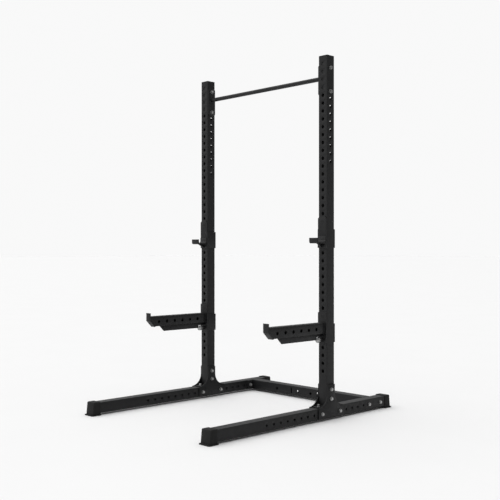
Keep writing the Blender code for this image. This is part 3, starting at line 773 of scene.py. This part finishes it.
# ---------------------------------------------------------------- fasteners
def hexagon_block(name, across, height, place, chamfer_low=False, bore=0.0):
    """Hexagon head or nut with its corners chamfered by a cone."""
    steps = 48
    flat = across / 2
    crown = flat * 0.95
    shape = bmesh.new()
    columns = []
    for i in range(steps):
        turn = 2 * math.pi * i / steps
        radius = flat / math.cos((turn % (math.pi / 3)) - math.pi / 6)
        drop = max(0.0, radius - crown) * 0.55
        columns.append((math.cos(turn), math.sin(turn), radius, drop))

    def ring(radius, z):
        return [shape.verts.new((c * radius, s * radius, z)) for c, s, *_ in columns]

    low = ring(crown, 0)
    side_low = [shape.verts.new((c * r, s * r, d if chamfer_low else 0.0002))
                for c, s, r, d in columns]
    side_high = [shape.verts.new((c * r, s * r, height - d)) for c, s, r, d in columns]
    rings = [low, side_low, side_high, ring(crown, height)]
    if bore:
        lip, chamfer = bore + 0.0008, 0.0010
        rings += [ring(lip, height), ring(bore, height - chamfer), ring(bore, chamfer),
                  ring(lip, 0), low]
    join_rings(shape, zip(rings, rings[1:]))
    if not bore:
        shape.faces.new(rings[-1])
        shape.faces.new(low)
    return to_object(name, shape, place)


def washer(name, place):
    """Flat washer with its rim chamfered."""
    radius, bore, depth, edge = WASHER_RADIUS, WASHER_BORE, WASHER_DEPTH, 0.0005
    profile = [(bore, 0.0), (radius - edge, 0.0), (radius, edge), (radius, depth - edge),
               (radius - edge, depth), (bore, depth)]
    piece(turned(name, profile, 40, place), ZINC, MAIN)


def threaded_end(name, start, end, place):
    """Shank whose visible end has thread ridges and a chamfer."""
    radius, core = SHANK_RADIUS, SHANK_RADIUS - 0.0006
    height = end - 0.014
    profile = [(0.0, start), (core, start), (core, height)]
    while height < end - 0.0026:
        profile += [(radius, height + THREAD_PITCH / 2), (radius - 0.0008, height + THREAD_PITCH)]
        height += THREAD_PITCH
    profile += [(radius - 0.0018, end), (0.0, end)]
    piece(turned(name, profile, 24, place), ZINC, MAIN, angle=50)


def fastener(label, side, sign, y, z, outer, inner, spin):
    """Bolt with a washer outside, and washer, nut and thread end inside."""
    head = sign * UPRIGHT_X + sign * (HALF + outer + 2 * GAP)
    grip = outer + TUBE + inner + 4 * GAP
    out = at(head, y, z, Matrix.Rotation(sign * math.pi / 2, 4, "Y"))
    turn = Matrix.Rotation(spin, 4, "Z")
    back = at(head - sign * (grip + GAP), y, z, Matrix.Rotation(-sign * math.pi / 2, 4, "Y"))
    bolt_node = "%s_bolt_%s" % (label, side)
    nut_node = "%s_nut_%s" % (label, side)
    lift = Matrix.Translation((0, 0, WASHER_DEPTH))
    bolt = hexagon_block(bolt_node + "_head", HEX_ACROSS, HEAD_DEPTH, out @ lift @ turn)
    piece(bolt, ZINC, MAIN, bolt_node, angle=22)
    washer(bolt_node + "_washer", out)
    washer(nut_node + "_washer", back)
    nut = hexagon_block(nut_node + "_hex", HEX_ACROSS, NUT_DEPTH, back @ lift @ turn, True,
                        NUT_BORE)
    piece(nut, ZINC, MAIN, nut_node, angle=22)
    threaded_end(bolt_node + "_shank", -0.004, 0.0145, back)


def foot_screw(side, sign):
    """Nut, washer and stud tip on the upright's foot tab."""
    centre = at(sign * UPRIGHT_X, UPRIGHT_Y - 0.075, FOOT + 2 * GAP + PLATE)
    washer("foot_screw_washer_" + side, centre)
    lift = Matrix.Translation((0, 0, WASHER_DEPTH)) @ Matrix.Rotation(0.3 * sign, 4, "Z")
    nut = hexagon_block("foot_screw_nut_" + side, 0.0180, NUT_DEPTH, centre @ lift, True,
                        NUT_BORE)
    piece(nut, ZINC, MAIN, "foot_screw_" + side, angle=22)
    threaded_end("foot_screw_stud_" + side, -0.010, 0.0148, centre)


def fasteners(side, sign):
    """Every bolt and nut on one side."""
    spin = 0.2 + 0.37 * sign
    for word, drop in zip(("upper", "lower"), BAR_BOLT_DROPS):
        spin += BOLT_TURN
        fastener("bar_" + word, side, sign, UPRIGHT_Y, TOP - drop, 0.0, PLATE, spin)
    for word, height in zip(("lower", "upper"), GUSSET_BOLT_HEIGHTS):
        spin += BOLT_TURN
        fastener("gusset_" + word, side, sign, UPRIGHT_Y, LEG_TOP + height, PLATE, PLATE, spin)
    for word, way in (("front", -1), ("rear", 1)):
        spin += BOLT_TURN
        fastener("gusset_" + word, side, sign, UPRIGHT_Y + way * GUSSET_LEG_BOLT, LEG_AXIS,
                 PLATE, PLATE, spin)
        fastener("crossmember_" + word, side, sign, CROSS_Y + way * CROSS_BOLT, LEG_AXIS, 0.0,
                 PLATE, spin + 0.4)
    foot_screw(side, sign)


# ---------------------------------------------------------------- rubber and plastic
def shoe(side, sign, end, way):
    """Rubber shoe: a tapered sleeve over the tube's end, on a flat flange."""
    node = "foot_shoe_%s_%s" % (end, side)
    low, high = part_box(node)
    x = sign * UPRIGHT_X
    tube_end = LEG_LOW.y if way < 0 else LEG_HIGH.y
    skin, sole, flange_depth = 0.004, 0.0005, 0.0065
    half = HALF + GAP + skin
    tip = tube_end + way * 0.008
    back = tube_end - way * 0.045
    outline = [(back, sole), (back, high.z), (tip - way * 0.004, high.z), (tip, high.z - 0.006),
               (tip + way * 0.008, sole)]
    body = sheet(node + "_sleeve", outline, 2 * half, "YZ", x)
    soften(body, 0.0035, 3)
    centre_y = (low.y + high.y) / 2
    flange = sheet(node + "_flange", rounded(high.x - low.x, high.y - low.y, 0.010, 5),
                   flange_depth, "XY", flange_depth / 2, (x, centre_y, 0))
    soften(flange, 0.0015, 2)
    combine(body, [flange], "UNION")
    room, pocket_depth = TUBE + 2 * GAP, 0.12
    start = tube_end + way * GAP
    pocket = sheet(node + "_pocket", rounded(room, room, CORNER, 5), pocket_depth, "XZ",
                   start - way * pocket_depth / 2, (x, 0, LEG_AXIS))
    combine(body, [pocket], "DIFFERENCE")
    piece(body, RUBBER, MAIN, node)


def top_cap(side, sign):
    """Plastic cap with a soft-edged lid."""
    x = sign * UPRIGHT_X
    lid = CAP_HIGH.z - (TOP + GAP)
    outline = rounded(TUBE, TUBE, CORNER, 6)
    cap = sheet("cap_lid_" + side, outline, lid, "XY", TOP + GAP + lid / 2, (x, UPRIGHT_Y, 0))
    soften(cap, 0.0012, 3, 50)
    room = TUBE - 2 * WALL - 2 * GAP
    plug = sheet("cap_plug_" + side, rounded(room, room, CORNER - WALL, 4), 0.014, "XY",
                 TOP - 0.0065, (x, UPRIGHT_Y, 0))
    combine(cap, [plug], "UNION")
    piece(cap, CAP, MAIN, "top_cap_" + side)


# ---------------------------------------------------------------- hanging brackets
def bracket(name, sign, pivot, top, cut, body, node, guide=None):
    """Plate with a wrap bent round the upright's inner side and back, and a bore at guide."""
    outline = [(-HALF, BRACKET_BOTTOM), (-HALF, top - cut), (-HALF + cut, top),
               (HALF - cut, top), (HALF, top - cut), (HALF, BRACKET_BOTTOM)]
    plate = sheet(name + "_plate", outline, PLATE, "XZ", -BRACKET_PLAY - PLATE / 2)
    bend = WRAP_BEND
    outside = HALF + PLATE_PLAY
    back = TUBE + BRACKET_PLAY + PLATE
    overlap = -HALF + 0.012
    wrap = [(overlap, -PLATE_PLAY)]
    wrap += arc((outside - bend, -PLATE_PLAY + bend), bend, -90, 0, 6)
    wrap += arc((outside - bend, back - bend), bend, 0, 90, 6)
    wrap += [(-HALF, back), (-HALF, back - PLATE)]
    wrap += arc((outside - bend, back - bend), bend - PLATE, 90, 0, 4)
    wrap += arc((outside - bend, -PLATE_PLAY + bend), bend - PLATE, 0, -90, 4)
    wrap += [(overlap, -BRACKET_PLAY)]
    height = WRAP_TOP - BRACKET_BOTTOM
    collar = sheet(name + "_collar", wrap, height, "XY", BRACKET_BOTTOM + height / 2)
    combine(plate, [collar], "UNION")
    if guide:
        bore = rod(name + "_guide", LOCK_BORE, (0, -0.02, guide), (0, 0.01, guide))
        combine(plate, [bore], "DIFFERENCE")
    soften(plate, 0.0010)
    mirror = Matrix.Scale(-sign, 4, (1, 0, 0))
    plate.data.transform(Matrix.Translation(pivot) @ mirror)
    if mirror.determinant() < 0:
        plate.data.flip_normals()
    piece(plate, BLACK, body, node)
    pin = [(0.0, 0.0), (PIN_RADIUS, 0.0), (PIN_RADIUS, PIN_LENGTH - 0.002),
           (PIN_RADIUS - 0.0016, PIN_LENGTH), (0.0, PIN_LENGTH)]
    piece(turned(name + "_pin", pin, 28, Matrix.Translation(pivot) @ ALONG_Y), ZINC, body)
    ring = [pivot + Vector((u, -PLATE_PLAY, v)) for u, v in circle(PIN_RADIUS + 0.0004, 24)]
    weld(name + "_pin_weld", body, ring, 0.0012)


def side_piece(name, outline, thickness, pivot, surface, body, *nodes, bevel=PLATE_EDGE):
    """Piece drawn from the side, about a bracket's pivot."""
    made = sheet(name, outline, thickness, "YZ", 0.0, pivot)
    return piece(soften(made, bevel), surface, body, *nodes)


def line_weld(name, pivot, body, ends, radius=WELD_RADIUS):
    """Straight open weld between two points about a pivot."""
    weld(name, body, [pivot + Vector(end) for end in ends], radius, closed=False)


def j_cup(side, sign):
    """J-cup: bracket, hook, rib, their welds and the liner."""
    body = "j_cup_%s_body" % side
    pivot = Vector(JOINTS["j_cup_twist_" + side]["pos_m"])
    name = "cup_" + side
    bracket(name, sign, pivot, J_CUP_PLATE_TOP, J_CUP_PLATE_CUT, body, "j_cup_" + side)
    width, reach, top, bottom, bend = 0.068, -0.092, -0.105, -0.140, 0.012
    root = -PLATE_PLAY + 0.0005
    corner = (reach + bend, bottom + bend)
    outline = [(reach, top)] + arc(corner, bend, 180, 270, 8)
    outline += [(root, bottom), (root, bottom + PLATE)]
    outline += list(reversed(arc(corner, bend - PLATE, 180, 270, 6))) + [(reach + PLATE, top)]
    side_piece(name + "_hook", outline, width, pivot, BLACK, body)
    rib_half, rib_low = 0.004, BRACKET_BOTTOM + 0.003
    rib = [(-0.062, bottom + 0.001), (root, bottom + 0.001), (root, rib_low),
           (-PLATE_PLAY - 0.004, rib_low)]
    side_piece(name + "_rib", rib, 2 * rib_half, pivot, BLACK, body)
    end = width / 2 - 0.003
    line_weld(name + "_hook_weld", pivot, body,
              [(-end, -PLATE_PLAY, bottom), (end, -PLATE_PLAY, bottom)])
    for way in (-1, 1):
        line_weld("%s_rib_weld_%d" % (name, way + 1), pivot, body,
                  [(way * rib_half, -PLATE_PLAY, v)
                   for v in (BRACKET_BOTTOM + 0.005, bottom - 0.001)], 0.0018)
    liner = 0.005
    front = reach + PLATE + GAP
    back = -PLATE_PLAY - GAP
    seat = bottom + PLATE + GAP
    turn = bend - PLATE
    shape = [(front, top)] + arc((front + turn, seat + turn), turn, 180, 270, 6)
    shape += [(back, seat), (back, top + 0.012), (back - liner, top + 0.012)]
    shape += arc((back - liner - 0.012, seat + liner + 0.012), 0.012, 0, -90, 8)
    shape += arc((front + liner + 0.008, seat + liner + 0.008), 0.008, 270, 180, 6)
    shape += [(front + liner, top)]
    side_piece(name + "_liner", shape, width - 0.002, pivot, LINER, body, "j_cup_liner_" + side,
               bevel=0.0007)


def arm_beam(name, pivot, root, body):
    """Hollow beam with a slanted lower end and a row of holes through its sides."""
    outline = [(root, ARM_TOP), (ARM_END - 0.0005, ARM_TOP),
               (ARM_END - 0.0005, ARM_BOTTOM + ARM_CUT), (ARM_END + ARM_CUT, ARM_BOTTOM),
               (root, ARM_BOTTOM)]
    beam = soften(sheet(name + "_beam", outline, ARM_WIDTH, "YZ", 0.0, pivot), 0.0035, 3)
    slant = WALL * HALF_SLANT
    inner = [(root - 0.003, ARM_TOP - WALL), (ARM_END + WALL, ARM_TOP - WALL),
             (ARM_END + WALL, ARM_BOTTOM + ARM_CUT + slant),
             (ARM_END + ARM_CUT + slant, ARM_BOTTOM + WALL), (root - 0.003, ARM_BOTTOM + WALL)]
    cutters = [sheet(name + "_hollow", inner, ARM_WIDTH - 2 * WALL, "YZ", 0.0, pivot)]
    middle = (ARM_TOP + ARM_BOTTOM) / 2
    for k in range(ARM_HOLES):
        y = -ARM_FIRST_HOLE - k * ARM_HOLE_PITCH
        cutters.append(rod("%s_hole_%d" % (name, k), ARM_HOLE_RADIUS,
                           pivot + Vector((-0.04, y, middle)), pivot + Vector((0.04, y, middle))))
    combine(beam, cutters, "DIFFERENCE")
    piece(beam, BLACK, body, angle=30)


def arm_fin(name, pivot, root, body):
    """Thin fin under the beam, stepped up over the knob."""
    drop = ARM_BOTTOM - FIN_LOW
    buried = ARM_BOTTOM + 0.0008
    fin = [(FIN_FRONT, buried), (FIN_FRONT + drop, FIN_LOW), (FIN_REAR, FIN_LOW),
           (FIN_REAR, FIN_STEP), (root, FIN_STEP), (root, buried)]
    side_piece(name + "_fin", fin, 2 * FIN_HALF, pivot, BLACK, body, bevel=0.0012)


def arm_tip(name, pivot, body):
    """Bent plate over the beam's end, standing above the liner."""
    slope = PLATE * HALF_SLANT
    skew = PLATE * math.sqrt(0.5)
    outer = ARM_END - PLATE
    tip = [(ARM_END, TIP_TOP), (outer, TIP_TOP), (outer, ARM_BOTTOM + ARM_CUT - slope),
           (ARM_END + ARM_CUT - skew, ARM_BOTTOM - skew), (ARM_END + ARM_CUT, ARM_BOTTOM),
           (ARM_END, ARM_BOTTOM + ARM_CUT)]
    side_piece(name + "_tip", tip, ARM_WIDTH, pivot, BLACK, body, bevel=0.0012)


def arm_welds(name, pivot, body):
    """Welds at the beam's root, at its tip and along the fin."""
    edge = ARM_WIDTH / 2
    corners = [(-edge, ARM_TOP), (edge, ARM_TOP), (edge, ARM_BOTTOM), (-edge, ARM_BOTTOM)]
    weld(name + "_root_weld", body, [pivot + Vector((u, -PLATE_PLAY, v)) for u, v in corners],
         0.0028)
    for way in (-1, 1):
        x = way * (edge - 0.001)
        line_weld("%s_tip_weld_%d" % (name, way + 1), pivot, body,
                  [(x, ARM_END, v) for v in (ARM_TOP - 0.003, ARM_BOTTOM + ARM_CUT)], 0.0020)
        line_weld("%s_fin_weld_%d" % (name, way + 1), pivot, body,
                  [(way * FIN_HALF, v, ARM_BOTTOM) for v in (FIN_FRONT + 0.002, -0.012)])


def arm_liner(name, side, pivot, body):
    """Flat strip on the beam, with countersunk screws down its middle."""
    low = ARM_TOP + GAP
    high = low + 0.0057
    front = ARM_END + GAP
    back = -PLATE_PLAY - GAP
    strip = [(front, low), (back, low), (back, high), (front, high)]
    side_piece(name + "_liner", strip, ARM_WIDTH, pivot, LINER, body, "arm_liner_" + side,
               bevel=0.0012)
    screw = [(0.0, -0.0002), (0.0016, -0.0002), (0.0018, 0.0010), (0.0044, 0.0012),
             (0.0048, 0.0008), (0.0026, -0.0020), (0.0, -0.0020)]
    for number, y in enumerate(ARM_SCREWS):
        centre = Matrix.Translation(pivot + Vector((0, y, high - 0.0006)))
        piece(turned("%s_liner_screw_%d" % (name, number), screw, 28, centre), ZINC, body)


def spotter_arm(side, sign):
    """Spotter arm: bracket, beam, fin, tip, liner, the lock pin's boss and the lock pin."""
    body = "spotter_arm_%s_body" % side
    pivot = Vector(JOINTS["spotter_arm_twist_" + side]["pos_m"])
    name = "arm_" + side
    root = -PLATE_PLAY + 0.0005
    bracket(name, sign, pivot, ARM_PLATE_TOP, ARM_PLATE_CUT, body, "spotter_arm_" + side,
            LOCK_DROP)
    arm_beam(name, pivot, root, body)
    arm_fin(name, pivot, root, body)
    arm_tip(name, pivot, body)
    arm_welds(name, pivot, body)
    arm_liner(name, side, pivot, body)

    start, end = PLATE_PLAY - 0.001, PLATE_PLAY + 0.014
    boss = [(LOCK_BORE, start), (0.0140, start), (0.0140, end - 0.0015), (0.0125, end),
            (0.0095, end), (LOCK_BORE, end - 0.0009)]
    outward = Matrix.Rotation(math.pi / 2, 4, "X")
    place = Matrix.Translation(pivot + Vector((0, 0, LOCK_DROP))) @ outward
    piece(turned(name + "_boss", boss, 40, place), BLACK, body)
    ring = [pivot + Vector((u, -PLATE_PLAY, LOCK_DROP + v)) for u, v in circle(0.0142, 28)]
    weld(name + "_boss_weld", body, ring, 0.0016)
    lock_pin(side, place)


def lock_pin(side, place):
    """Steel pin with a straight-knurled pull knob."""
    body = "lock_pin_%s_body" % side
    nose, back, front = 0.003, 0.035, 0.055
    profile = [(0.0, nose), (0.006, nose), (0.008, nose + 0.002), (0.008, back), (0.0, back)]
    piece(turned("lock_pin_rod_" + side, profile, 32, place), ZINC, body)
    steps = 72
    shape = bmesh.new()
    rings = []
    sections = ((0.0085, back, 0), (0.0145, back, 0), (0.0162, back + 0.0016, 0),
                (0.0166, back + 0.0030, 1), (0.0166, front - 0.0062, 1),
                (0.0158, front - 0.0050, 0), (0.0154, front - 0.0044, 0),
                (0.0168, front - 0.0033, 0), (0.0168, front - 0.0014, 0),
                (0.0154, front, 0), (0.0090, front, 0), (0.0082, front - 0.0008, 0))
    for radius, height, ridged in sections:
        ring = []
        for i in range(steps):
            turn = 2 * math.pi * i / steps
            size = radius + (0.0006 if i % 2 else -0.0003) * ridged
            ring.append(shape.verts.new((size * math.cos(turn), size * math.sin(turn), height)))
        rings.append(ring)
    join_rings(shape, zip(rings, rings[1:]))
    shape.faces.new(rings[0])
    shape.faces.new(rings[-1])
    knob = to_object("lock_pin_knob_" + side, shape, place)
    piece(knob, ZINC, body, "arm_lock_pin_" + side, angle=25)


# ---------------------------------------------------------------- the stage
def floor():
    """Plain pale floor, wide enough to reach the horizon."""
    shape = bmesh.new()
    shape.faces.new([shape.verts.new((u * FLOOR_SIZE, v * FLOOR_SIZE, -0.0002))
                     for u, v in ((-1, -1), (1, -1), (1, 1), (-1, 1))])
    ground = to_object("floor", shape)
    made, shader, nodes, place = new_material("pale_floor", Roughness=0.75,
                                              Specular_IOR_Level=0.10)
    tone = nodes.blend(nodes.noise(place, 1.5, 2.0), (0.80, 0.80, 0.80, 1), (0.82, 0.82, 0.82, 1))
    link(nodes, shader, Base_Color=tone)
    ground.data.materials.append(made)


def sky():
    """White backdrop.  Its light comes mostly from above, and more from -X and -Y."""
    world = bpy.data.worlds.new("studio")
    bpy.context.scene.world = world
    world.use_nodes = True
    tree = world.node_tree
    nodes = Nodes(tree)
    tree.nodes.clear()
    way = nodes.add("SeparateXYZ", {0: nodes.add("TexCoord").outputs["Generated"]}).outputs
    height = nodes.math("MAXIMUM", way["Z"], 0.0)
    level = nodes.spread(nodes.math("POWER", height, 1.5), 0.0, 1.0, LEVEL_LOW, LEVEL_HIGH)
    across = nodes.math("ADD", way["X"], way["Y"])
    side_level = nodes.spread(across, -1.4, 1.4, LEVEL_LEFT, LEVEL_RIGHT)
    level = nodes.math("MULTIPLY", level, side_level)
    seen = nodes.add("LightPath").outputs["Is Camera Ray"]
    lit = nodes.add("Background", {"Strength": level})
    plain = nodes.add("Background", {"Color": (BACKDROP, BACKDROP, BACKDROP, 1),
                                     "Strength": 1.0})
    both = nodes.add("MixShader", {0: seen, 1: lit.outputs[0], 2: plain.outputs[0]})
    out = nodes.add("OutputWorld")
    tree.links.new(both.outputs[0], out.inputs["Surface"])


def camera():
    """Level camera at the front right corner."""
    data = bpy.data.cameras.new("camera")
    data.sensor_width = 36.0
    data.lens = LENS
    made = bpy.data.objects.new("camera", data)
    made.location = CAMERA_PLACE
    made.rotation_euler = (math.radians(90), 0, math.radians(CAMERA_TURN))
    bpy.context.scene.collection.objects.link(made)
    bpy.context.scene.camera = made


# ---------------------------------------------------------------- everything
for side_name, side_sign in SIDES.items():
    upright(side_name, side_sign)
    base_leg(side_name, side_sign)
    top_cap(side_name, side_sign)
    shoe(side_name, side_sign, "front", -1)
    shoe(side_name, side_sign, "rear", 1)
    gusset(side_name, side_sign, "outer", side_sign)
    gusset(side_name, side_sign, "inner", -side_sign)
    fasteners(side_name, side_sign)
    j_cup(side_name, side_sign)
    spotter_arm(side_name, side_sign)
crossmember()
pull_up_bar()

floor()
sky()
camera()
bpy.context.scene.view_settings.view_transform = "Standard"
